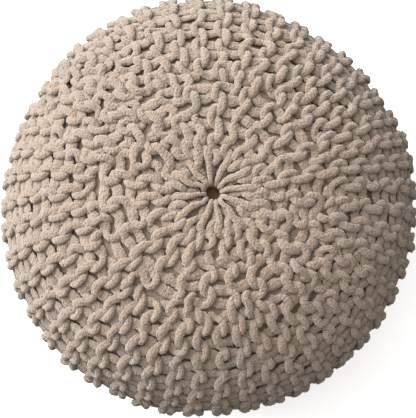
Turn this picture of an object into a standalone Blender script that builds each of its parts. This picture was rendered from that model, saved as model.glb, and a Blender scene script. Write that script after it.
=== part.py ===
"""A knitted floor pouf: one filled solid with the ridges of its knit raised on it.

The rows of the knit run from the crown, over the side, to the base, with the purl side out, so the
ridges between them are meridians. Twelve of them reach the hole at the crown, where the knit is
drawn together. Twelve more start close to the hole, and twenty-four short ones start where the
crown begins to fall away. The solid reaches as far as the cord does: the crests are its true outer
size, and the base is flat where it stands.

Metres, +Z up, origin on the floor under the middle of the base.
"""

import math

import bmesh
import bpy

# Overall size, over the crests of the ridges.
WIDTH = 0.500
HEIGHT = 0.350
WIDEST_HEIGHT = 0.168

# Outline of the half section. Both halves are superellipses; the lower one would reach below
# the floor by SAG, so the floor cuts it off flat.
CROWN_POWER = 2.3
BASE_POWER = 2.6
SAG = 0.024

# The crown is drawn in a little around a hole that the gathered yarn leaves open.
DRAW_IN_DEPTH = 0.007
DRAW_IN_RADIUS = 0.045
HOLE_RADIUS = 0.0075
HOLE_LIP = 0.006
HOLE_DEPTH = 0.022

# Ridges of the knit. Each family is spread over the turn and starts at its own distance from the
# crown's centre, measured along the surface.
RIDGE_DEPTH = 0.005
RIDGE_HALF_WIDTH = 0.010
RIDGE_START_LENGTH = 0.016
RIDGE_FAMILIES = (
    # name, ridges, first ridge in turns, start along the surface
    ("long", 12, 0.0, 0.010),
    ("middle", 12, 1 / 24, 0.038),
    ("short", 24, 1 / 48, 0.137),
)

# The first ridge lies this far round from +X, and the ridges are spread a little unevenly: each
# drifts by a sum of waves round the turn.
FIRST_RIDGE = math.radians(10.75)
RIDGE_DRIFT = (
    # waves in a turn, degrees as a cosine, degrees as a sine
    (1, 1.33, -0.30),
    (2, -0.80, -0.12),
    (3, 1.07, -0.24),
)

# Mesh density: three columns of points for each of the 48 ridges, so that one lies on its crest.
RIDGE_COUNT = sum(ridges for _name, ridges, _first, _start in RIDGE_FAMILIES)
COLUMNS = 3 * RIDGE_COUNT
CROWN_RING_ARCS = (0.021, 0.038, 0.055)
RING_STEP = 0.0225
BASE_FLAT_MARGIN = 0.014
OUTLINE_SAMPLES = 2000

COTTON_COLOUR = (0.62, 0.50, 0.41, 1.0)
COTTON_ROUGHNESS = 0.92


def clear_scene():
    for obj in list(bpy.data.objects):
        bpy.data.objects.remove(obj, do_unlink=True)


def smooth_step(value):
    value = min(1.0, max(0.0, value))
    return value * value * (3.0 - 2.0 * value)


def outline():
    """The crests' half section as (arc from the crown, radius, height), crown to floor."""
    half_width = WIDTH / 2
    crown_rise = HEIGHT - WIDEST_HEIGHT
    base_drop = WIDEST_HEIGHT + SAG
    samples = []
    for index in range(2 * OUTLINE_SAMPLES + 1):
        angle = math.pi / 2 * index / OUTLINE_SAMPLES
        over = angle <= math.pi / 2
        power = 2.0 / (CROWN_POWER if over else BASE_POWER)
        across = max(0.0, math.sin(angle)) ** power
        along = abs(math.cos(angle)) ** power
        radius = half_width * across
        height = WIDEST_HEIGHT + (crown_rise if over else -base_drop) * along
        if over:
            height -= DRAW_IN_DEPTH * math.exp(-((radius / DRAW_IN_RADIUS) ** 2))
        if height < 0.0:
            break
        samples.append((radius, height))
    lost_to_draw_in = HEIGHT - max(height for _radius, height in samples)
    samples = [
        (radius, height + lost_to_draw_in * max(0.0, height - WIDEST_HEIGHT) / crown_rise)
        for radius, height in samples
    ]
    arc = 0.0
    found = [(arc, *samples[0])]
    for before, after in zip(samples, samples[1:]):
        arc += math.dist(before, after)
        found.append((arc, *after))
    return found


def at_arc(curve, arc):
    """(radius, height, outward slope as a unit vector) where the outline has this arc."""
    for before, after in zip(curve, curve[1:]):
        if after[0] >= arc:
            break
    share = min(1.0, (arc - before[0]) / (after[0] - before[0]))
    radius = before[1] + share * (after[1] - before[1])
    height = before[2] + share * (after[2] - before[2])
    run, drop = after[1] - before[1], before[2] - after[2]
    length = math.hypot(run, drop)
    return radius, height, (drop / length, run / length)


def drifted(share):
    """The angle from +X of a place on the ridges' even spread, given in turns."""
    angle = FIRST_RIDGE + math.tau * share
    degrees = sum(
        cosine * math.cos(waves * angle) + sine * math.sin(waves * angle)
        for waves, cosine, sine in RIDGE_DRIFT
    )
    return angle + math.radians(degrees)


def ridge_relief(arc, radius, turn):
    """How far the surface lies below the crests, from 0 on a crest to RIDGE_DEPTH."""
    highest = 0.0
    for _name, ridges, first, start in RIDGE_FAMILIES:
        grown = smooth_step((arc - start) / RIDGE_START_LENGTH)
        off_crest = (turn - first + 0.5 / ridges) % (1.0 / ridges) - 0.5 / ridges
        aside = abs(off_crest) * math.tau * radius / RIDGE_HALF_WIDTH
        if aside < 1.0:
            highest = max(highest, grown * math.cos(math.pi / 2 * aside) ** 2)
    return RIDGE_DEPTH * (1.0 - highest)


def section_rings():
    """The solid's rings from the hole's floor to the base, each a function of the turn."""
    curve = outline()
    floor_arc = curve[-1][0]
    lip_arc = HOLE_RADIUS + HOLE_LIP
    _radius, lip_height, _out = at_arc(curve, lip_arc)

    def plain(radius, height):
        return lambda turn: (radius, height)

    def ridged(arc):
        radius, height, out = at_arc(curve, arc)

        def point(turn):
            sunk = ridge_relief(arc, radius, turn)
            return radius - sunk * out[0], max(0.0, height - sunk * out[1])

        return point

    rings = [
        plain(HOLE_RADIUS * 0.8, lip_height - HOLE_DEPTH),
        plain(HOLE_RADIUS, lip_height - HOLE_LIP),
        ridged(lip_arc),
    ]
    rings += [ridged(arc) for arc in CROWN_RING_ARCS]
    steps = round((floor_arc - CROWN_RING_ARCS[-1]) / RING_STEP)
    step = (floor_arc - CROWN_RING_ARCS[-1]) / steps
    rings += [ridged(CROWN_RING_ARCS[-1] + step * (i + 1)) for i in range(steps)]
    flat_radius = curve[-1][1] - BASE_FLAT_MARGIN
    rings += [plain(flat_radius, 0.0), plain(flat_radius / 3, 0.0)]
    return rings, lip_height - HOLE_DEPTH


def cotton_material():
    material = bpy.data.materials.new("cotton_knit")
    material.use_nodes = True
    shader = material.node_tree.nodes["Principled BSDF"]
    shader.inputs["Base Color"].default_value = COTTON_COLOUR
    shader.inputs["Roughness"].default_value = COTTON_ROUGHNESS
    shader.inputs["Metallic"].default_value = 0.0
    return material


def build_pouf(collection):
    """A UV sphere whose rings are moved onto the sections, with the ridges raised in its points."""
    rings, hole_floor = section_rings()
    mesh = bpy.data.meshes.new("knitted_pouf")
    shell = bmesh.new()
    bmesh.ops.create_uvsphere(shell, u_segments=COLUMNS, v_segments=len(rings) + 1, radius=1.0)
    for vert in shell.verts:
        polar = math.acos(min(1.0, max(-1.0, vert.co.z)))
        ring = round(polar / math.pi * (len(rings) + 1)) - 1
        if ring < 0:
            vert.co = (0.0, 0.0, hole_floor)
        elif ring >= len(rings):
            vert.co = (0.0, 0.0, 0.0)
        else:
            turn = math.atan2(vert.co.y, vert.co.x) / math.tau
            column = round(turn * COLUMNS) % COLUMNS
            radius, height = rings[ring](column / COLUMNS)
            angle = drifted(column / COLUMNS)
            vert.co = (radius * math.cos(angle), radius * math.sin(angle), height)
    bmesh.ops.recalc_face_normals(shell, faces=shell.faces)
    shell.to_mesh(mesh)
    shell.free()
    mesh.shade_smooth()
    mesh.materials.append(cotton_material())
    pouf = bpy.data.objects.new("knitted_pouf", mesh)
    collection.objects.link(pouf)
    return pouf


def main():
    clear_scene()
    collection = bpy.data.collections.new("knitted_pouf")
    bpy.context.scene.collection.children.link(collection)
    build_pouf(collection)


main()
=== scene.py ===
"""A knitted floor pouf, seen from above: thick cotton cord, knitted, over a filled inner cover.

The cover is modelled cord by cord. It is knitted sideways with its purl side out, so its rows run
from the crown to the base, with one row between two ridges. A ridge is made of the foot arcs of the
row on one side of it and the head arcs of the row on the other side, and the legs of the stitches
lie lower, between the ridges. Twelve long ridges reach the hole at the crown, twelve middle ones
start close to it, and twenty-four short ones start where the crown falls away.

A point of the knit is given by three numbers: the arc along the surface from the crown, the turn
round the axis, and how far out it lies. Once they are laid, the cords are pushed apart, but they
still press into each other a little, as soft cords do.

Metres, +Z up, +Y towards the top of the picture.
"""

import math

import bpy
import numpy as np
from mathutils import Matrix, Vector


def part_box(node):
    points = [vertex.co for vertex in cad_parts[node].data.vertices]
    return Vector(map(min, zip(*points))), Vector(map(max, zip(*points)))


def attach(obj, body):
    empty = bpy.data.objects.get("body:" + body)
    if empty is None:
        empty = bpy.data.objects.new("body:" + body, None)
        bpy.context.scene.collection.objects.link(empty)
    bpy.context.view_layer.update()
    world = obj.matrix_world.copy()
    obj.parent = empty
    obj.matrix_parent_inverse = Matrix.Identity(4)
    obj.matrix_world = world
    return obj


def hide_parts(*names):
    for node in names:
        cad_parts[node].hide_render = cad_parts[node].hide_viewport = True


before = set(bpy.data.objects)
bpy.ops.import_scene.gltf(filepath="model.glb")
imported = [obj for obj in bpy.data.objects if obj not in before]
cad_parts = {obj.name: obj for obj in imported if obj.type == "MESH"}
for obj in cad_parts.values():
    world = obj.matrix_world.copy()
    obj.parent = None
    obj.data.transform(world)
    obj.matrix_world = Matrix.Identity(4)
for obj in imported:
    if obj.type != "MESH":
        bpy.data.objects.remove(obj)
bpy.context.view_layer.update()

SEED = 20417
NODE = "knitted_pouf"
LOW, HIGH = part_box(NODE)
WIDTH = HIGH[0] - LOW[0]
HEIGHT = HIGH[2] - LOW[2]

# The outline over the crests of the ridges, as in the solid. Both halves are superellipses, the
# floor cuts the lower one off flat, and the crown is drawn in a little.
WIDEST_HEIGHT = 0.168
CROWN_POWER = 2.3
BASE_POWER = 2.6
SAG = 0.024
DRAW_IN_DEPTH = 0.007
DRAW_IN_RADIUS = 0.045
OUTLINE_SAMPLES = 4000
FLAT_SAMPLES = 400
SLOPE_BLUR = 0.012
NARROWEST = 0.004

# Where the ridges lie, as in the solid. A wedge reaches from one long ridge to the next.
WEDGES = 12
FIRST_RIDGE = math.radians(10.75)
RIDGE_DRIFT = (
    # waves in a turn, degrees as a cosine, degrees as a sine
    (1, 1.33, -0.30),
    (2, -0.80, -0.12),
    (3, 1.07, -0.24),
)

# The rows. The first stitch of a long row lies FIRST_STITCH from the pole. The short ridges begin
# with its stitch SHORT_START_STITCH, counted from 0, which lies just past SHORT_START.
CORD = 0.0076
STITCH = 0.0325
FIRST_STITCH = 0.0555
SHORT_START_STITCH = 3
SHORT_START = 0.134

# The form of a stitch, in cord diameters. An arc reaches HOOK to each side of its ridge, and
# further where the ridges are more than WIDE_SPACING apart, but never past a share of their
# distance. A row that moves to another ridge does so deep behind the knit.
RIDGE_RISE = 0.05
HOOK = 0.52
HOOK_GROWTH = 0.22
WIDE_SPACING = 3.0
HOOK_SHARE = 0.30
FOOT_INSIDE = 0.72
HEAD_OUTSIDE = 1.14
LEG_BOW = 0.40
MOVE_RISE = -1.28

# How broad the cord lies, in cord diameters. Past LEG_ENDS hooks from its ridge it's nearly a leg.
FOOT_BREADTH = 1.30
HEAD_BREADTH = 1.10
LEG_ENDS = 1.1
LEG_END_SHARE = 0.6

# What changes from the pole outwards, as (start of the change, its length, before it, after it).
# The first two are metres. The values are cord diameters, but LEG_LEVEL is a share of LIFT,
# STRAND_THICKNESS goes by the distance from the axis, and DIMPLE is metres.
LIFT_ON_SIDE = 0.40
LIFT = (0.120, 0.030, 0.27, LIFT_ON_SIDE)
LEG_LEVEL = (0.130, 0.040, -0.05, -0.42)
LEG_BREADTH = (0.115, 0.030, 1.68, 1.92)
STRAND_BREADTH = (0.014, 0.010, 1.0, 1.1)
STRAND_THICKNESS = (0.010, 0.032, 0.76, 1.0)
COVER_BELOW = (0.142, 0.016, 0.86, 1.08)
DIMPLE = (0.006, 0.013, 0.022, 0.0)

# The middle of the knit lies INSET below the crests of the solid, so that the arcs of the stitches
# stand out past them by CREST_PAST.
CREST_PAST = 0.0030
INSET = (RIDGE_RISE + LIFT_ON_SIDE + 0.5) * CORD - CREST_PAST

# How uneven the stitches are, as spreads: their size as a share, their shifts along the row, round
# the turn and outwards, and the lean of their legs. The wedge at the seam is more uneven.
WOBBLE = (0.05, 0.0007, 0.0006, 0.0005, 0.0014)
LENGTH_SHARE = 0.3
SEAM_WEDGE = 4
SEAM_WOBBLE = 2.6

# The strands at the hole turn round it by a mean and a spread, and they sway, all in degrees.
SWIRL = (-3.0, 4.0)
SWIRL_REACH = 0.045
SWAY = 3.0

# The whole knit is uneven in soft waves of these wavelengths and amounts, and each cord has a
# jitter of its own.
SOFT_WAVES = ((0.24, 0.0036), (0.11, 0.0010), (0.05, 0.0004))
WAVES_OF_EACH = 6
JITTER = 0.0010
JITTER_LENGTH = 0.004

# The cord's nodes.
FINE_STEP = 0.0005
NODE_STEP = 0.0023
SMOOTHING = 0.0019

# How the cords are pushed apart, round by round. Soft cords come as close as CONTACT of their
# thickness. STIFFNESS spreads a push along its cord, less so in the last FINE_ROUNDS, and PULL_BACK
# draws the nodes back a little towards where they were laid.
CONTACT = 0.80
RELAX_ROUNDS = 60
FINE_ROUNDS = 10
PAIRS_EVERY = 6
PAIR_REACH = 1.25
OWN_NEIGHBOURS = 7
PUSH = 1.3
SHARING = 0.6
STIFFNESS = 0.5
FINE_STIFFNESS = 0.25
PULL_BACK = 0.997

# The mesh of the cord. Its lumps and swellings are spreads, as shares of its radius. No point lies
# under LOWEST, so the knit is flat where it rests on the floor.
SIDES = 12
LUMPS = 0.085
SWELLINGS = 0.16
SWELLING_LENGTH = 0.004
LOWEST = 0.0002
CORDS_IN_PIECE = 4
UV_MAP = "cord"
DEPTH = "depth"

# The mesh of the inner cover.
COVER_COLUMNS = 144
COVER_ROWS = 120


def smooth_step(value):
    value = np.clip(value, 0.0, 1.0)
    return value * value * (3.0 - 2.0 * value)


def eased(value, start, run, before, after):
    """A soft change from before to after, which begins at start and takes run."""
    return before + smooth_step((value - start) / run) * (after - before)


def smoothed(values, sigma, step, closed=True):
    """A Gaussian blur along a line of rows. Past the ends of an open line its end rows go on."""
    half = int(math.ceil(3 * sigma / step))
    weights = np.exp(-0.5 * (np.arange(-half, half + 1) * step / sigma) ** 2)
    weights /= weights.sum()
    if closed:
        before, after = values[-half:], values[:half]
    else:
        before, after = np.repeat(values[:1], half, 0), np.repeat(values[-1:], half, 0)
    longer = np.concatenate([before, values, after])
    return np.stack([np.convolve(column, weights, "valid") for column in longer.T], 1)


# ---------------------------------------------------------------- the surface


class Surface:
    """The crests' outline, turned about Z, as a map from (arc, turn, out) to a point."""

    STEP = 0.001
    ROWS_AT_ONCE = 4096

    def __init__(self):
        crown_rise = HEIGHT - WIDEST_HEIGHT
        over = np.linspace(0.0, math.pi / 2, OUTLINE_SAMPLES + 1)
        radius = WIDTH / 2 * np.sin(over) ** (2 / CROWN_POWER)
        height = WIDEST_HEIGHT + crown_rise * np.cos(over) ** (2 / CROWN_POWER)
        height -= DRAW_IN_DEPTH * np.exp(-((radius / DRAW_IN_RADIUS) ** 2))
        height += (HEIGHT - height.max()) * np.maximum(0.0, height - WIDEST_HEIGHT) / crown_rise
        under_radius = WIDTH / 2 * np.cos(over) ** (2 / BASE_POWER)
        under_height = WIDEST_HEIGHT - (WIDEST_HEIGHT + SAG) * np.sin(over) ** (2 / BASE_POWER)
        standing = under_height > 0.0
        edge = under_radius[standing][-1]
        flat = np.linspace(edge, 0.0, FLAT_SAMPLES)[1:]
        radius = np.concatenate([radius, under_radius[standing][1:], flat])
        height = np.concatenate([height, under_height[standing][1:], 0.0 * flat])
        arc = np.concatenate([[0.0], np.cumsum(np.hypot(np.diff(radius), np.diff(height)))])
        self.length = float(arc[-1])
        self.arc = np.arange(0.0, self.length, self.STEP)
        self.line = np.stack([np.interp(self.arc, arc, radius), np.interp(self.arc, arc, height)], 1)
        along = np.gradient(self.line, self.STEP, axis=0)
        out = smoothed(np.stack([-along[:, 1], along[:, 0]], 1), SLOPE_BLUR, self.STEP, closed=False)
        self.out = out / np.linalg.norm(out, axis=1)[:, None]

    def from_end(self, arc):
        """The distance from the pole, at the crown or at the base, whichever is nearer."""
        return np.minimum(arc, self.length - arc)

    def section(self, arc, out):
        """Radius and height of a place, with out measured from the middle of the knit."""
        out = out - INSET
        radius = np.interp(arc, self.arc, self.line[:, 0]) + out * np.interp(arc, self.arc, self.out[:, 0])
        height = np.interp(arc, self.arc, self.line[:, 1]) + out * np.interp(arc, self.arc, self.out[:, 1])
        return radius, height

    def radius(self, arc):
        """Radius of the knit's middle."""
        return np.maximum(NARROWEST, self.section(arc, 0.0)[0])

    def point(self, arc, turn, out):
        radius, height = self.section(arc, out)
        return np.stack([radius * np.cos(turn), radius * np.sin(turn), height], -1)

    def nearest(self, points):
        """For each point, the index of the nearest place on the outline."""
        place = np.stack([np.hypot(points[:, 0], points[:, 1]), points[:, 2]], 1)
        found = np.empty(len(place), np.int64)
        for start in range(0, len(place), self.ROWS_AT_ONCE):
            rows = slice(start, start + self.ROWS_AT_ONCE)
            gap = place[rows, None, :] - self.line[None, :, :]
            found[rows] = np.einsum("ijk,ijk->ij", gap, gap).argmin(1)
        return found

    def outward(self, points, nearest):
        """The surface's outward direction at each point."""
        around = points[:, :2] / np.maximum(1e-6, np.hypot(points[:, 0], points[:, 1]))[:, None]
        out = self.out[nearest]
        return np.column_stack([around * out[:, :1], out[:, 1]])

    def depth(self, points, nearest):
        """How far each row of points lies below the crests."""
        place = np.stack([np.hypot(points[..., 0], points[..., 1]), points[..., 2]], -1)
        return ((self.line[nearest][:, None, :] - place) * self.out[nearest][:, None, :]).sum(-1)


SURFACE = Surface()


# ---------------------------------------------------------------- the form of a stitch


def ridge_turn(wedge, quarter):
    """The turn of a ridge. Quarter 0 is a long one, 1 and 3 are short and 2 is a middle one."""
    turn = FIRST_RIDGE + math.tau * (wedge + quarter / 4) / WEDGES
    degrees = sum(cosine * math.cos(waves * turn) + sine * math.sin(waves * turn)
                  for waves, cosine, sine in RIDGE_DRIFT)
    return turn + math.radians(degrees)


def spacing(arc):
    """The distance between ridges here, in cords."""
    ridges = (4 if SURFACE.from_end(arc) > SHORT_START else 2) * WEDGES
    return math.tau * float(SURFACE.radius(arc)) / ridges / CORD


def hook(arc):
    """How far the arcs of the stitches reach to each side of their ridge."""
    apart = spacing(arc)
    reach = HOOK
    if SURFACE.from_end(arc) >= SHORT_START:
        reach += HOOK_GROWTH * max(0.0, apart - WIDE_SPACING)
    return min(reach, HOOK_SHARE * apart) * CORD


def changing(change, arc):
    """A value from one of the tables of what changes from the pole outwards."""
    return eased(SURFACE.from_end(arc), *change)


# The lines that a corner of a stitch can lie on: the ridge at its foot, the middle, where its legs
# are, and the ridge at its head.
FOOT, LEG, HEAD = 0, 0.5, 1


def breadth(arc, line, across):
    """How broad the cord lies here. The legs spread out, and the feet are fuller than the heads."""
    leg = changing(LEG_BREADTH, arc)
    if line == LEG:
        return leg
    if abs(across) > LEG_ENDS:
        return 1 + LEG_END_SHARE * (leg - 1)
    return FOOT_BREADTH if line == FOOT else HEAD_BREADTH


def stitch_corners(width):
    """One stitch, from the arc at its foot up one leg, over its head and down the other leg.

    A corner is (along, line, across, level). Along is from the stitch's middle. Across is in hooks
    from the line's ridge. Level is 1 on the outer side of the ridge and -1 behind it; the legs'
    level is set by LEG_LEVEL instead.
    """
    inside = FOOT_INSIDE * CORD
    outside = HEAD_OUTSIDE * CORD
    foot = width / 2 - inside
    bow = LEG_BOW * CORD
    left = [
        (-width / 2 + 0.42 * foot, FOOT, -0.95, 1.05),
        (-width / 2 + 0.84 * foot, FOOT, -0.40, 0.40),
        (-inside, FOOT, 0.45, -0.60),
        (-inside, FOOT, 1.25, -1.0),
        (-width / 4 - bow, LEG, 0.0, 0.0),
        (-outside, HEAD, -1.25, -1.0),
        (-outside, HEAD, -0.45, -0.60),
        (-0.84 * outside, HEAD, 0.40, 0.30),
        (-0.42 * outside, HEAD, 0.95, 0.85),
    ]
    # The right half mirrors the left one, but both legs bow towards the crown.
    right = [(width / 4 - bow if line == LEG else -along, line, across, level)
             for along, line, across, level in reversed(left)]
    return left + [(0.0, HEAD, 1.00, 0.9)] + right


# ---------------------------------------------------------------- the routes of the cords


def row_corners(foot, head, stitches, wobble):
    """A row's corners as (arc, turn, out, breadth), from the crown to the base.

    foot and head give the turn of the ridge at the foot and at the head of each stitch.
    """
    corners = []
    for number, (middle, width) in enumerate(stitches):
        before, after = max(0, number - 1), min(number + 1, len(stitches) - 1)
        moves_before, moves_after = foot[before] != foot[number], foot[after] != foot[number]
        size, shift, turn_shift, out_shift, lean = wobble[number]
        for along, line, across, level in stitch_corners(width):
            arc = middle + along * (1 + LENGTH_SHARE * size) + shift + (lean if line == LEG else 0.0)
            turn = (1 - line) * foot[number] + line * head[number]
            turn += (across * hook(arc) * (1 + size) + turn_shift) / float(SURFACE.radius(arc))
            rise = changing(LIFT, arc) * (changing(LEG_LEVEL, arc) if line == LEG else level)
            if line == FOOT and level > 0 and (moves_before if along < 0 else moves_after):
                rise = MOVE_RISE
            corners.append((arc, turn, (RIDGE_RISE + rise) * CORD + out_shift, breadth(arc, line, across)))
    return corners


def wobbly_row(foot, head, stitches, chance, wobble):
    spread = chance.normal(0.0, 1.0, (len(stitches), len(wobble)))
    return row_corners(foot, head, stitches, spread * wobble)


def strand(path, turn, at_base, swirl):
    """The corners of a path of (distance from the pole, degrees aside, cords out)."""
    corners = []
    for distance, aside, out in path:
        arc = SURFACE.length - distance if at_base else distance
        twist = math.radians(aside) + swirl * max(0.0, 1 - distance / SWIRL_REACH)
        corners.append((arc, turn + twist, out * CORD, changing(STRAND_BREADTH, arc)))
    return corners


def hole_strand(turn, at_base, swirl, sway):
    """From inside the hole over its lip and out along a long ridge."""
    path = [
        (0.0120, 1.0, -3.00), (0.0106, 2.0, -1.60), (0.0106, 2.0, -0.20), (0.0134, 1.5 + 0.4 * sway, 0.45),
        (0.0175, 1.0 + sway, 0.50), (0.0240, -sway, 0.50), (0.0315, -1.5 - sway, 0.50),
    ]
    return strand(path, turn, at_base, swirl)


def finger_strand(middle, long, at_base, swirl):
    """From the end of a middle ridge round a finger-like loop, then low beside a long one to the hole."""
    finger = [(0.0375, -1.6, 0.45), (0.0345, 0.5, 0.40), (0.0350, 4.0, 0.05)]
    low = [
        (0.0320, -8.0, -0.15), (0.0260, -10.0, -0.15), (0.0205, -11.0, -0.40), (0.0165, -11.0, -1.20),
        (0.0140, -11.0, -2.60), (0.0100, -12.0, -4.00),
    ]
    return strand(finger, middle, at_base, 0.0) + strand(low, long, at_base, swirl)


def short_turn(first_row, second_row, poleward):
    """Round the end of a short ridge, over its neighbours' legs, and behind the work to the next row.

    poleward is 1 where the arc grows towards the nearer pole and -1 where it shrinks.
    """
    arc_a, turn_a = first_row[:2]
    arc_b, turn_b = second_row[:2]
    aside = hook(arc_a) / float(SURFACE.radius(arc_a))
    return [
        (arc_a + poleward * 0.0050, turn_a + 0.7 * aside, 0.50 * CORD, 1.15),
        (arc_a + poleward * 0.0130, turn_a - 0.3 * aside, 0.55 * CORD, 1.15),
        (arc_a + poleward * 0.0185, turn_a + 0.6 * aside, 0.20 * CORD, 1.15),
        (arc_a + poleward * 0.0190, turn_a + 1.4 * aside, -1.20 * CORD, 1.0),
        (arc_a + poleward * 0.0080, 0.5 * (turn_a + turn_b), -1.90 * CORD, 1.0),
        (arc_b + poleward * 0.0060, turn_b - 1.2 * aside, -1.10 * CORD, 1.0),
        (arc_b + poleward * 0.0030, turn_b - 0.6 * aside, 0.05 * CORD, 1.0),
    ]


def stitch_places():
    """The middle and the width of every stitch of a long row."""
    columns = round((SURFACE.length - 2 * FIRST_STITCH) / STITCH)
    step = (SURFACE.length - 2 * FIRST_STITCH) / columns
    return [(FIRST_STITCH + step * number, step) for number in range(columns + 1)]


def wedge_cords(wedge, chance):
    """The corners of the two closed cords of a wedge.

    One makes the two long rows, beside the long ridges, and turns back inside both holes. The other
    makes the two short rows between them.
    """
    stitches = stitch_places()
    count = len(stitches)
    turns = [ridge_turn(wedge, quarter) for quarter in range(5)]
    inner = [min(number, count - 1 - number) >= SHORT_START_STITCH for number in range(count)]
    wobble = np.array(WOBBLE) * (SEAM_WOBBLE if wedge == SEAM_WEDGE else 1.0)

    # Where there are no short ridges, both long rows reach to the middle one.
    first_heads = [turns[1] if short else turns[2] for short in inner]
    last_feet = [turns[3] if short else turns[2] for short in inner]
    first = wobbly_row([turns[0]] * count, first_heads, stitches, chance, wobble)
    last = wobbly_row(last_feet, [turns[4]] * count, stitches, chance, wobble)
    swirl = math.radians(chance.normal(*SWIRL))
    sway = chance.normal(0.0, SWAY)
    long_cord = hole_strand(turns[0], False, swirl, sway)
    long_cord += first
    long_cord += hole_strand(turns[0], True, -swirl, sway)[::-1]
    long_cord += finger_strand(turns[2], turns[4], True, -swirl)[::-1]
    long_cord += last[::-1]
    long_cord += finger_strand(turns[2], turns[4], False, swirl)

    within = [place for place, short in zip(stitches, inner) if short]
    there = wobbly_row([turns[1]] * len(within), [turns[2]] * len(within), within, chance, wobble)
    back = wobbly_row([turns[2]] * len(within), [turns[3]] * len(within), within, chance, wobble)
    short_cord = there + short_turn(there[-1], back[-1], 1.0)
    short_cord += back[::-1] + short_turn(there[0], back[0], -1.0)[::-1]
    return long_cord, short_cord


# ---------------------------------------------------------------- cords as lines of nodes


def resampled(points, step):
    """Points at an even distance along a closed line. Columns past the third ride along."""
    points = np.vstack([points, points[:1]])
    arc = np.concatenate([[0.0], np.cumsum(np.linalg.norm(np.diff(points[:, :3], axis=0), axis=1))])
    count = int(round(arc[-1] / step))
    at = np.arange(count) * arc[-1] / count
    return np.stack([np.interp(at, arc, column) for column in points.T], 1)


def cord_line(corners):
    """The cord's nodes as (x, y, z, breadth)."""
    corners = np.array(corners)
    points = SURFACE.point(corners[:, 0], corners[:, 1], corners[:, 2])
    fine = resampled(np.column_stack([points, corners[:, 3]]), FINE_STEP)
    return resampled(smoothed(fine, SMOOTHING, FINE_STEP), NODE_STEP)


def unevenness(points):
    """A soft, slow displacement field, so that neighbours move together. It is the same each time."""
    chance = np.random.default_rng(SEED + 1)
    moved = np.zeros_like(points)
    for wavelength, amount in SOFT_WAVES:
        for _wave in range(WAVES_OF_EACH):
            direction = chance.normal(size=3)
            direction *= math.tau / wavelength / np.linalg.norm(direction)
            shift = chance.normal(size=3) * amount / math.sqrt(WAVES_OF_EACH)
            phase = chance.uniform(0, math.tau)
            moved += np.sin(points @ direction + phase)[:, None] * shift
    return moved


def near_pairs(points, reach, cord, place, count_in_cord):
    """Index pairs closer than reach, without close neighbours on the same cord."""
    cell = np.floor((points - points.min(0)) / reach).astype(np.int64) + 1
    sizes = cell.max(0) + 2
    key = (cell[:, 0] * sizes[1] + cell[:, 1]) * sizes[2] + cell[:, 2]
    order = np.argsort(key, kind="stable")
    in_order = key[order]
    everyone = np.arange(len(points))
    steps = [(dx, dy, dz) for dx in (-1, 0, 1) for dy in (-1, 0, 1) for dz in (-1, 0, 1)]
    found = []
    for dx, dy, dz in steps:
        # Half of the neighbouring cells are enough, because a pair is the same both ways.
        if (dx, dy, dz) < (0, 0, 0):
            continue
        other = key + (dx * sizes[1] + dy) * sizes[2] + dz
        start = np.searchsorted(in_order, other, "left")
        count = np.searchsorted(in_order, other, "right") - start
        first = np.repeat(everyone, count)
        inside = np.arange(count.sum()) - np.repeat(np.cumsum(count) - count, count)
        second = order[np.repeat(start, count) + inside]
        if (dx, dy, dz) == (0, 0, 0):
            once = second > first
            first, second = first[once], second[once]
        gap = points[first] - points[second]
        close = np.einsum("ij,ij->i", gap, gap) < reach * reach
        found.append(np.stack([first[close], second[close]], 1))
    pairs = np.concatenate(found)
    first, second = pairs.T
    apart = np.abs(place[first] - place[second])
    apart = np.minimum(apart, count_in_cord[first] - apart)
    own = (cord[first] == cord[second]) & (apart <= OWN_NEIGHBOURS)
    return pairs[~own]


def pushed_apart(lines, radii):
    """Moves the nodes until soft cords only press into each other. A push spreads along its cord."""
    rest = np.concatenate(lines)
    radius = np.concatenate(radii)
    counts = np.array([len(line) for line in lines])
    starts = np.concatenate([[0], np.cumsum(counts)[:-1]])
    cord = np.repeat(np.arange(len(lines)), counts)
    index = np.arange(len(rest))
    place = index - starts[cord]
    before = np.where(place == 0, index + counts[cord] - 1, index - 1)
    after = np.where(place == counts[cord] - 1, starts[cord], index + 1)
    moved = np.zeros_like(rest)
    for step in range(RELAX_ROUNDS):
        points = rest + moved
        if step % PAIRS_EVERY == 0:
            pairs = near_pairs(points, PAIR_REACH * CORD, cord, place, counts[cord])
            first, second = pairs.T
        gap = points[first] - points[second]
        distance = np.linalg.norm(gap, axis=1)
        short = np.maximum(0.0, CONTACT * (radius[first] + radius[second]) - distance)
        push = gap / np.maximum(distance, 1e-6)[:, None] * (0.5 * short)[:, None]
        touching = short > 0
        total = np.zeros_like(rest)
        for axis in range(3):
            total[:, axis] += np.bincount(first[touching], push[touching, axis], len(rest))
            total[:, axis] -= np.bincount(second[touching], push[touching, axis], len(rest))
        hits = np.bincount(first[touching], minlength=len(rest))
        hits += np.bincount(second[touching], minlength=len(rest))
        moved += PUSH * total / np.maximum(1.0, SHARING * hits)[:, None]
        stiffness = STIFFNESS if step < RELAX_ROUNDS - FINE_ROUNDS else FINE_STIFFNESS
        moved += stiffness * (0.5 * (moved[before] + moved[after]) - moved)
        moved *= PULL_BACK
        height = rest[:, 2] + moved[:, 2]
        moved[:, 2] += np.maximum(0.0, radius - height)
    points = rest + moved
    return [points[start:start + count] for start, count in zip(starts, counts)]


# ---------------------------------------------------------------- meshes


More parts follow.
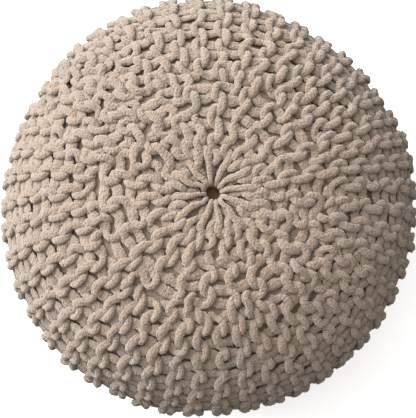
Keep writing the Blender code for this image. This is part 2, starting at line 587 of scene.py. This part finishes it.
def transported_frames(line):
    """Two directions across a closed line, carried along it without twist."""
    ahead = np.roll(line, -1, 0) - np.roll(line, 1, 0)
    ahead /= np.linalg.norm(ahead, axis=1)[:, None]
    side = np.empty_like(line)
    start = np.cross(ahead[0], (0.0, 0.0, 1.0))
    if np.linalg.norm(start) < 0.1:
        start = np.cross(ahead[0], (1.0, 0.0, 0.0))
    current = start / np.linalg.norm(start)
    for index, direction in enumerate(ahead.tolist()):
        a, b, c = current
        dot = a * direction[0] + b * direction[1] + c * direction[2]
        a, b, c = a - dot * direction[0], b - dot * direction[1], c - dot * direction[2]
        size = math.sqrt(a * a + b * b + c * c)
        current = (a / size, b / size, c / size)
        side[index] = current
    other = np.cross(ahead, side)
    # What is left over at the closing point is spread along the whole cord.
    last = side[-1] - ahead[0] * (side[-1] @ ahead[0])
    angle = math.atan2(last @ other[0], last @ side[0])
    spread = -angle * np.arange(len(line)) / len(line)
    cos, sin = np.cos(spread)[:, None], np.sin(spread)[:, None]
    return side * cos + other * sin, other * cos - side * sin


def tube_points(line, radius, breadth, nearest, chance):
    """Rings of points round the nodes, lumpy, and flattened against the surface."""
    turn = np.arange(SIDES) * math.tau / SIDES
    side, other = transported_frames(line)
    ring = side[:, None, :] * np.cos(turn)[None, :, None] + other[:, None, :] * np.sin(turn)[None, :, None]
    lumps = chance.normal(0.0, LUMPS, (len(line), SIDES))
    lumps += smoothed(chance.normal(0.0, SWELLINGS, (len(line), 1)), SWELLING_LENGTH, NODE_STEP)
    offset = ring * (radius[:, None] * (1.0 + lumps))[:, :, None]
    out = SURFACE.outward(line, nearest)[:, None, :]
    outward = (offset * out).sum(-1, keepdims=True) * out
    breadth = breadth[:, None, None]
    points = line[:, None, :] + (offset - outward) * breadth + outward / np.sqrt(breadth)
    points[..., 2] = np.maximum(points[..., 2], LOWEST)
    return points


def grid_faces(rows, point_rows, columns, corners, row_length):
    """The quads of a grid that closes round its columns and, corner by corner, their UVs.

    A quad's corners are given as steps of (rows, columns). The grid also closes along its rows
    where it has as many rows of points as of quads.
    """
    i, j = np.meshgrid(np.arange(rows), np.arange(columns), indexing="ij")
    quads = [(i + down) % point_rows * columns + (j + on) % columns for down, on in corners]
    uvs = [np.stack([(i + down) * row_length, (j + on) / columns], -1) for down, on in corners]
    return np.stack(quads, -1).reshape(-1, 4), np.stack(uvs, 2).reshape(-1, 2)


def cord_mesh(name, lines, radii, breadths, chance):
    """One mesh of closed tubes. Its UVs count cord diameters along a cord and turns round it."""
    corners = ((0, 0), (0, 1), (1, 1), (1, 0))
    verts, quads, uvs, depths = [], [], [], []
    start = 0
    for line, radius, breadth in zip(lines, radii, breadths):
        nearest = SURFACE.nearest(line)
        points = tube_points(line, radius, breadth, nearest, chance)
        own_quads, own_uvs = grid_faces(len(line), len(line), SIDES, corners, NODE_STEP / CORD)
        verts.append(points.reshape(-1, 3))
        depths.append(SURFACE.depth(points, nearest).ravel())
        quads.append(start + own_quads)
        uvs.append(own_uvs)
        start += len(line) * SIDES
    whole = [np.concatenate(parts) for parts in (verts, quads, uvs, depths)]
    return mesh_object(name, *whole)


def mesh_object(name, verts, quads, uvs, depths):
    """A smooth mesh with a UV map and, as an attribute, how far each point lies below the crests, for the
    painted shade.
    """
    mesh = bpy.data.meshes.new(name)
    mesh.vertices.add(len(verts))
    mesh.vertices.foreach_set("co", verts.astype(np.float32).ravel())
    mesh.loops.add(4 * len(quads))
    mesh.loops.foreach_set("vertex_index", quads.astype(np.int32).ravel())
    mesh.polygons.add(len(quads))
    mesh.polygons.foreach_set("loop_start", np.arange(0, 4 * len(quads), 4, dtype=np.int32))
    layer = mesh.uv_layers.new(name=UV_MAP)
    mesh.update(calc_edges=True)
    layer.data.foreach_set("uv", uvs.astype(np.float32).ravel())
    mesh.validate()
    mesh.shade_smooth()
    piece = bpy.data.objects.new(name, mesh)
    bpy.context.scene.collection.objects.link(piece)
    attribute = mesh.attributes.new(DEPTH, "FLOAT", "POINT")
    attribute.data.foreach_set("value", depths.astype(np.float32))
    return piece


# ---------------------------------------------------------------- materials


# A ramp is a row of (place, colour). Colours are linear.
CORD_TONE = ((0.30, (0.303, 0.230, 0.179)), (0.70, (0.343, 0.266, 0.209)))
CORD_GRAIN = ((0.30, (0.84, 0.81, 0.77)), (0.62, (1.04, 1.04, 1.04)))
# Painted shade: the cord is a little darker at the crests, to tone down their highlights, and darker and
# browner deep in the knit, where shade falls.
CORD_PAINTED_SHADE = (
    (0.00, (0.92, 0.92, 0.92)), (0.20, (0.98, 0.98, 0.98)), (0.35, (1.0, 0.995, 0.99)),
    (0.54, (0.92, 0.850, 0.775)), (0.78, (0.76, 0.56, 0.40)),
)
# The painted shade is read at the depth times the first of these, plus the second.
CORD_PAINTED_SHADE_PER_METRE = 40.0
CORD_PAINTED_SHADE_AT_CREST = 0.14
CORD_PATCHES = 38.0
CORD_SHEEN = (1.0, 0.92, 0.84, 1.0)
# The braid: waves in a cord's length of one thickness, waves round it, and how they are shaken.
BRAID_ALONG = 2.6
BRAID_AROUND = 7
BRAID_SHAKE = 5.0
BRAID_SHAKE_SCALE = 210.0
BRAID_SHARE = 0.35
BRAID_HEIGHT = 0.0005
FIBRE_SCALE = 340.0
FIBRE_HEIGHT = 0.0050

COVER_TONE = ((0.34, (0.280, 0.216, 0.170)), (0.62, (0.362, 0.290, 0.236)))
# Painted shade: the cover is darker and browner where it lies deep, most of all in the hole.
COVER_PAINTED_SHADE = ((0.00, (1.0, 1.0, 1.0)), (0.48, (1.0, 1.0, 1.0)), (0.80, (0.62, 0.49, 0.37)))
COVER_PAINTED_SHADE_PER_METRE = 50.0
COVER_PATCHES = 300.0
# The weave: how many waves of it there are from pole to pole, and how many round the turn.
WEAVE_ALONG = 900
WEAVE_AROUND = 500
WEAVE_HEIGHT = 0.00010
COVER_FUZZ_SCALE = 330.0
COVER_FUZZ_HEIGHT = 0.0034

FLOOR_TONE = ((0.3, (0.90, 0.90, 0.90)), (0.7, (0.93, 0.93, 0.93)))
FLOOR_PATCHES = 3.0


class Nodes:
    """Short calls for building a node tree."""

    def __init__(self, name):
        self.material = bpy.data.materials.new(name)
        self.material.use_nodes = True
        self.tree = self.material.node_tree
        self.shader = self.tree.nodes["Principled BSDF"]

    def add(self, kind, **values):
        node = self.tree.nodes.new(kind)
        for key, value in values.items():
            setattr(node, key, value)
        return node

    def link(self, source, target):
        self.tree.links.new(source, target)

    def math(self, operation, first, second=None):
        node = self.add("ShaderNodeMath", operation=operation)
        for socket, value in zip(node.inputs, (first, second)):
            if isinstance(value, (int, float)):
                socket.default_value = value
            elif value is not None:
                self.link(value, socket)
        return node.outputs[0]

    def noise(self, scale, detail, vector=None):
        node = self.add("ShaderNodeTexNoise")
        node.inputs["Scale"].default_value = scale
        node.inputs["Detail"].default_value = detail
        node.inputs["Roughness"].default_value = 0.5
        if vector is not None:
            self.link(vector, node.inputs["Vector"])
        return node.outputs[0]

    def ramp(self, factor, stops):
        node = self.add("ShaderNodeValToRGB")
        elements = node.color_ramp.elements
        while len(elements) < len(stops):
            elements.new(0.5)
        for element, (position, colour) in zip(elements, stops):
            element.position = position
            element.color = (*colour, 1.0)
        self.link(factor, node.inputs[0])
        return node.outputs[0]

    def multiplied(self, first, second):
        """The product of two colours."""
        node = self.add("ShaderNodeMix", data_type="RGBA", blend_type="MULTIPLY")
        factor, first_colour, second_colour = node.inputs[0], node.inputs[6], node.inputs[7]
        factor.default_value = 1.0
        self.link(first, first_colour)
        self.link(second, second_colour)
        return node.outputs[2]

    def place(self):
        return self.add("ShaderNodeTexCoord").outputs["Object"]

    def uv(self):
        split = self.add("ShaderNodeSeparateXYZ")
        self.link(self.add("ShaderNodeUVMap", uv_map=UV_MAP).outputs[0], split.inputs[0])
        return split.outputs[0], split.outputs[1]

    def depth(self):
        return self.add("ShaderNodeAttribute", attribute_name=DEPTH).outputs["Fac"]

    def bump(self, height, strength):
        node = self.add("ShaderNodeBump")
        node.inputs["Strength"].default_value = strength
        node.inputs["Distance"].default_value = 1.0
        self.link(height, node.inputs["Height"])
        self.link(node.outputs[0], self.shader.inputs["Normal"])

    def set(self, socket, value):
        self.shader.inputs[socket].default_value = value


def cord_material():
    """Matt cotton cord, finely braided and fluffy, with painted shade: browner deep in the knit."""
    nodes = Nodes("cotton_cord")
    where = nodes.place()
    u, v = nodes.uv()
    shake = nodes.math("MULTIPLY", nodes.noise(BRAID_SHAKE_SCALE, 2.0, where), BRAID_SHAKE)
    along = nodes.math("ADD", nodes.math("MULTIPLY", u, math.tau * BRAID_ALONG), shake)
    around = nodes.math("ADD", nodes.math("MULTIPLY", v, math.tau * BRAID_AROUND), shake)
    crossing = nodes.math("SUBTRACT", nodes.math("COSINE", around), nodes.math("COSINE", along))
    braid = nodes.math("ADD", nodes.math("MULTIPLY", crossing, 0.25), 0.5)
    fibres = nodes.noise(FIBRE_SCALE, 2.0, where)
    tone = nodes.ramp(nodes.noise(CORD_PATCHES, 3.0, where), CORD_TONE)
    grain = nodes.math("ADD", nodes.math("MULTIPLY", braid, BRAID_SHARE),
                       nodes.math("MULTIPLY", fibres, 1 - BRAID_SHARE))
    # The place on the painted shade ramp, from the depth below the crests.
    deep = nodes.math("MULTIPLY", nodes.depth(), CORD_PAINTED_SHADE_PER_METRE)
    deep = nodes.math("ADD", deep, CORD_PAINTED_SHADE_AT_CREST)
    tone = nodes.multiplied(tone, nodes.ramp(grain, CORD_GRAIN))
    tone = nodes.multiplied(tone, nodes.ramp(deep, CORD_PAINTED_SHADE))
    nodes.link(tone, nodes.shader.inputs["Base Color"])
    lay = nodes.math("MULTIPLY", braid, BRAID_HEIGHT)
    fuzz = nodes.math("MULTIPLY", fibres, FIBRE_HEIGHT)
    nodes.bump(nodes.math("ADD", lay, fuzz), 0.9)
    nodes.set("Roughness", 0.92)
    nodes.set("Specular IOR Level", 0.15)
    nodes.set("Sheen Weight", 0.70)
    nodes.set("Sheen Roughness", 0.6)
    nodes.set("Sheen Tint", CORD_SHEEN)
    return nodes.material


def cover_material():
    """Plain woven cotton of the inner cover, with painted shade: browner where it lies deep, as in the
    hole.
    """
    nodes = Nodes("inner_cover")
    where = nodes.place()
    u, v = nodes.uv()
    along = nodes.math("SINE", nodes.math("MULTIPLY", u, math.tau * WEAVE_ALONG))
    around = nodes.math("SINE", nodes.math("MULTIPLY", v, math.tau * WEAVE_AROUND))
    tone = nodes.ramp(nodes.noise(COVER_PATCHES, 3.0, where), COVER_TONE)
    # Painted shade, read from the depth below the crests.
    shade = nodes.ramp(nodes.math("MULTIPLY", nodes.depth(), COVER_PAINTED_SHADE_PER_METRE), COVER_PAINTED_SHADE)
    nodes.link(nodes.multiplied(tone, shade), nodes.shader.inputs["Base Color"])
    weave = nodes.math("MULTIPLY", nodes.math("MULTIPLY", along, around), WEAVE_HEIGHT)
    fuzz = nodes.math("MULTIPLY", nodes.noise(COVER_FUZZ_SCALE, 2.0, where), COVER_FUZZ_HEIGHT)
    nodes.bump(nodes.math("ADD", weave, fuzz), 0.5)
    nodes.set("Roughness", 0.9)
    nodes.set("Specular IOR Level", 0.15)
    return nodes.material


# ---------------------------------------------------------------- the pouf


def knitted_cover():
    """The 24 cords of the cover, in pieces of a few cords."""
    chance = np.random.default_rng(SEED)
    lines = [cord_line(corners) for wedge in range(WEDGES) for corners in wedge_cords(wedge, chance)]
    whole = np.concatenate(lines)
    ends = np.cumsum([len(line) for line in lines])[:-1]
    breadths = np.split(whole[:, 3], ends)
    lines = np.split(whole[:, :3] + unevenness(whole[:, :3]), ends)
    lines = [line + smoothed(chance.normal(0.0, JITTER, line.shape), JITTER_LENGTH, NODE_STEP)
             for line in lines]
    radii = [CORD / 2 * eased(np.hypot(line[:, 0], line[:, 1]), *STRAND_THICKNESS) for line in lines]
    lines = pushed_apart(lines, radii)
    material = cord_material()
    for number, first in enumerate(range(0, len(lines), CORDS_IN_PIECE), 1):
        own = slice(first, first + CORDS_IN_PIECE)
        piece = cord_mesh(f"knitted_cover_{number}", lines[own], radii[own], breadths[own], chance)
        piece.data.materials.append(material)
        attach(piece, "root")
        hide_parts(NODE)


def inner_cover():
    """The filled inner cover under the knit, with a dimple under each hole."""
    arcs = SURFACE.length * np.linspace(0.0, 1.0, COVER_ROWS + 1)
    turns = np.arange(COVER_COLUMNS) * math.tau / COVER_COLUMNS
    arc, turn = np.meshgrid(arcs, turns, indexing="ij")
    out = -changing(COVER_BELOW, arc) * CORD - changing(DIMPLE, arc)
    verts = SURFACE.point(arc, turn, out).reshape(-1, 3)
    verts += unevenness(verts)
    corners = ((0, 0), (1, 0), (1, 1), (0, 1))
    quads, uvs = grid_faces(COVER_ROWS, COVER_ROWS + 1, COVER_COLUMNS, corners, 1 / COVER_ROWS)
    piece = mesh_object("inner_cover", verts, quads, uvs, (INSET - out).ravel())
    piece.data.materials.append(cover_material())
    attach(piece, "root")
    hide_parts(NODE)


# ---------------------------------------------------------------- stage, lights and camera


FLOOR_HALF = 6.0
FLOOR_GLOW = 0.60

WORLD_COLOUR = (1.0, 0.915, 0.830, 1.0)
WORLD_STRENGTH = 0.275
LIGHT_TARGET = (0.0, 0.0, 0.17)
AREA_LIGHTS = (
    # name, place, size, watts, colour
    ("key", (-2.07, 1.29, 2.08), 3.4, 205.0, (0.985, 0.985, 0.985)),
    ("top", (-0.35, 0.20, 3.20), 2.2, 43.0, (0.985, 0.99, 1.0)),
)

# The camera looks down, a little off the axis. The middle of its lens lies less than a pixel from
# the middle of the picture, and those two offsets are in pixels.
CAMERA_DISTANCE = 1.800
CAMERA_TILT_X = math.radians(-1.50)
CAMERA_TILT_Y = math.radians(-5.98)
CAMERA_LENS = 126.7
CAMERA_SENSOR = 36.0
CAMERA_NEAR = 0.05
IMAGE_HEIGHT = 418
PRINCIPAL_RAISED = 0.6
PRINCIPAL_RIGHT = -0.2


def floor():
    """A plain pale floor. It glows a little, but doesn't light the pouf."""
    mesh = bpy.data.meshes.new("floor")
    corners = [(-FLOOR_HALF, -FLOOR_HALF, 0), (FLOOR_HALF, -FLOOR_HALF, 0),
               (FLOOR_HALF, FLOOR_HALF, 0), (-FLOOR_HALF, FLOOR_HALF, 0)]
    mesh.from_pydata(corners, [], [(0, 1, 2, 3)])
    plane = bpy.data.objects.new("floor", mesh)
    bpy.context.scene.collection.objects.link(plane)
    nodes = Nodes("floor")
    nodes.link(nodes.ramp(nodes.noise(FLOOR_PATCHES, 2.0), FLOOR_TONE), nodes.shader.inputs["Base Color"])
    nodes.set("Roughness", 0.9)
    nodes.set("Emission Color", (1.0, 1.0, 1.0, 1.0))
    nodes.set("Emission Strength", FLOOR_GLOW)
    mesh.materials.append(nodes.material)
    plane.visible_diffuse = False


def lights():
    """A warm, even surrounding, a large soft light from the upper left and a weak one from above."""
    world = bpy.data.worlds.new("studio")
    world.use_nodes = True
    background = world.node_tree.nodes["Background"]
    background.inputs["Color"].default_value = WORLD_COLOUR
    background.inputs["Strength"].default_value = WORLD_STRENGTH
    bpy.context.scene.world = world
    for name, place, size, watts, colour in AREA_LIGHTS:
        data = bpy.data.lights.new(name, "AREA")
        data.shape = "DISK"
        data.size = size
        data.energy = watts
        data.color = colour
        lamp = bpy.data.objects.new(name, data)
        bpy.context.scene.collection.objects.link(lamp)
        lamp.location = place
        lamp.rotation_euler = (Vector(LIGHT_TARGET) - Vector(place)).to_track_quat("-Z", "Y").to_euler()


def camera():
    data = bpy.data.cameras.new("camera")
    data.lens = CAMERA_LENS
    data.sensor_width = CAMERA_SENSOR
    data.shift_x = -PRINCIPAL_RIGHT / IMAGE_HEIGHT
    data.shift_y = -PRINCIPAL_RAISED / IMAGE_HEIGHT
    data.clip_start = CAMERA_NEAR
    eye = bpy.data.objects.new("camera", data)
    bpy.context.scene.collection.objects.link(eye)
    x, y = math.sin(CAMERA_TILT_X), math.sin(CAMERA_TILT_Y)
    away = Vector((x, y, math.sqrt(1 - x * x - y * y)))
    eye.location = Vector((0.0, 0.0, WIDEST_HEIGHT)) + CAMERA_DISTANCE * away
    right = (-away).cross(Vector((0, 1, 0))).normalized()
    up = right.cross(-away)
    eye.rotation_euler = Matrix((right, up, away)).transposed().to_euler()
    bpy.context.scene.camera = eye


camera()
floor()
lights()
inner_cover()
knitted_cover()
bpy.context.scene.view_settings.view_transform = "Standard"
